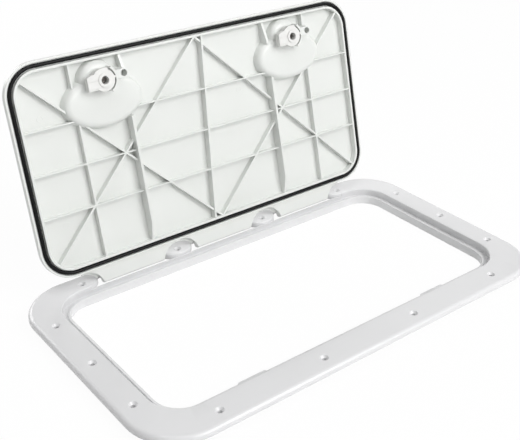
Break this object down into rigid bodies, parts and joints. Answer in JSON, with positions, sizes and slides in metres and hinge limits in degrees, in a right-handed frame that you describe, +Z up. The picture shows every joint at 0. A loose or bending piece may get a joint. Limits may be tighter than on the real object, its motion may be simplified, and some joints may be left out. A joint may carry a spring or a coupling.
{
  "type": "inspection hatch",
  "caption": "Deck inspection hatch with a screw-down frame, a hinged ribbed lid with a black seal and quarter-turn latches, shown open.",
  "frame": {"origin": "centre of the deck screw pattern, on the underside of the flange (the deck surface)", "axes": "+Z up out of the deck, +X along the hinge, +Y towards the hinge"},
  "size_m": [0.606, 0.3909, 0.3061],
  "materials": {
    "frame_plastic": "gloss white UV-stable moulding",
    "lid_plastic": "satin-gloss white moulding",
    "latch_plastic": "gloss white moulding",
    "gasket_rubber": "satin black extruded rubber",
    "seal_rubber": "matt black moulded rubber",
    "stainless_steel": "plain stainless steel"
  },
  "bodies": {
    "frame": {"frame": "frame_plastic", "hinge_pin_left": "stainless_steel", "hinge_pin_middle": "stainless_steel", "hinge_pin_right": "stainless_steel"},
    "lid": {"lid": "lid_plastic", "lid_gasket": "gasket_rubber"},
    "latch_left": {"latch_left_handle": "latch_plastic", "latch_left_spindle_oring": "seal_rubber", "latch_left_spring_washer": "stainless_steel", "latch_left_stop_disc": "latch_plastic", "latch_left_cam": "latch_plastic", "latch_left_cam_washer": "stainless_steel", "latch_left_cam_screw": "stainless_steel"},
    "latch_right": {"latch_right_handle": "latch_plastic", "latch_right_spindle_oring": "seal_rubber", "latch_right_spring_washer": "stainless_steel", "latch_right_stop_disc": "latch_plastic", "latch_right_cam": "latch_plastic", "latch_right_cam_washer": "stainless_steel", "latch_right_cam_screw": "stainless_steel"}
  },
  "joints": [
    {"name": "lid_hinge", "type": "hinge", "parent": "frame", "child": "lid", "pos_m": [0, 0.154, 0.0122], "axis": [1, 0, 0], "range_deg": [0, 102.5]},
    {"name": "latch_left_turn", "type": "hinge", "parent": "lid", "child": "latch_left", "pos_m": [-0.1451, 0.19292, 0.258], "axis": [0, 0.9763, -0.2164], "range_deg": [0, 90]},
    {"name": "latch_right_turn", "type": "hinge", "parent": "lid", "child": "latch_right", "pos_m": [0.1451, 0.19292, 0.258], "axis": [0, 0.9763, -0.2164], "range_deg": [0, 90]}
  ]
}
